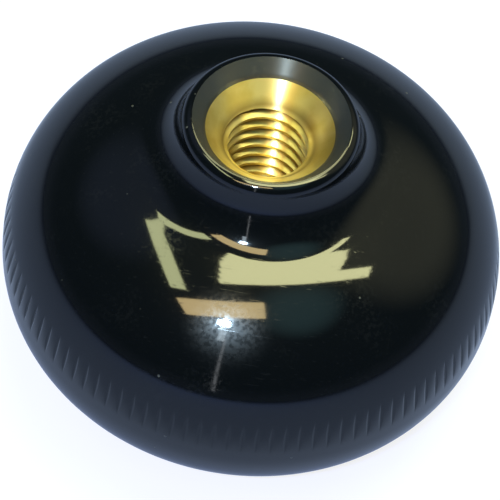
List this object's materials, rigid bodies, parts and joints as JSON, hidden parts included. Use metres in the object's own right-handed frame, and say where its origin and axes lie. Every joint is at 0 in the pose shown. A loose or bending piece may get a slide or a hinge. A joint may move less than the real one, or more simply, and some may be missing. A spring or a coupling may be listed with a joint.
{
  "type": "knurled knob",
  "caption": "Round flattened moulded knob with a fluted rim, a raised collar and a tapped brass insert, screwed onto a threaded stud as a hand grip.",
  "frame": {"origin": "centre of the flat spot in the middle of the palm face, on the knob's axis", "axes": "+Z along the knob's axis from the palm face to the mouth of the tapped hole; the knob is round, so +X has no special direction"},
  "size_m": [0.042, 0.042, 0.0287],
  "materials": {
    "black_moulding": "glossy black moulded plastic, polished by the mould, with fine scuffs and dust",
    "brass": "bright turned brass with fine tool rings in the countersink and a cut thread"
  },
  "bodies": {
    "root": {"knob_body": "black_moulding", "threaded_insert": "brass"}
  },
  "joints": []
}
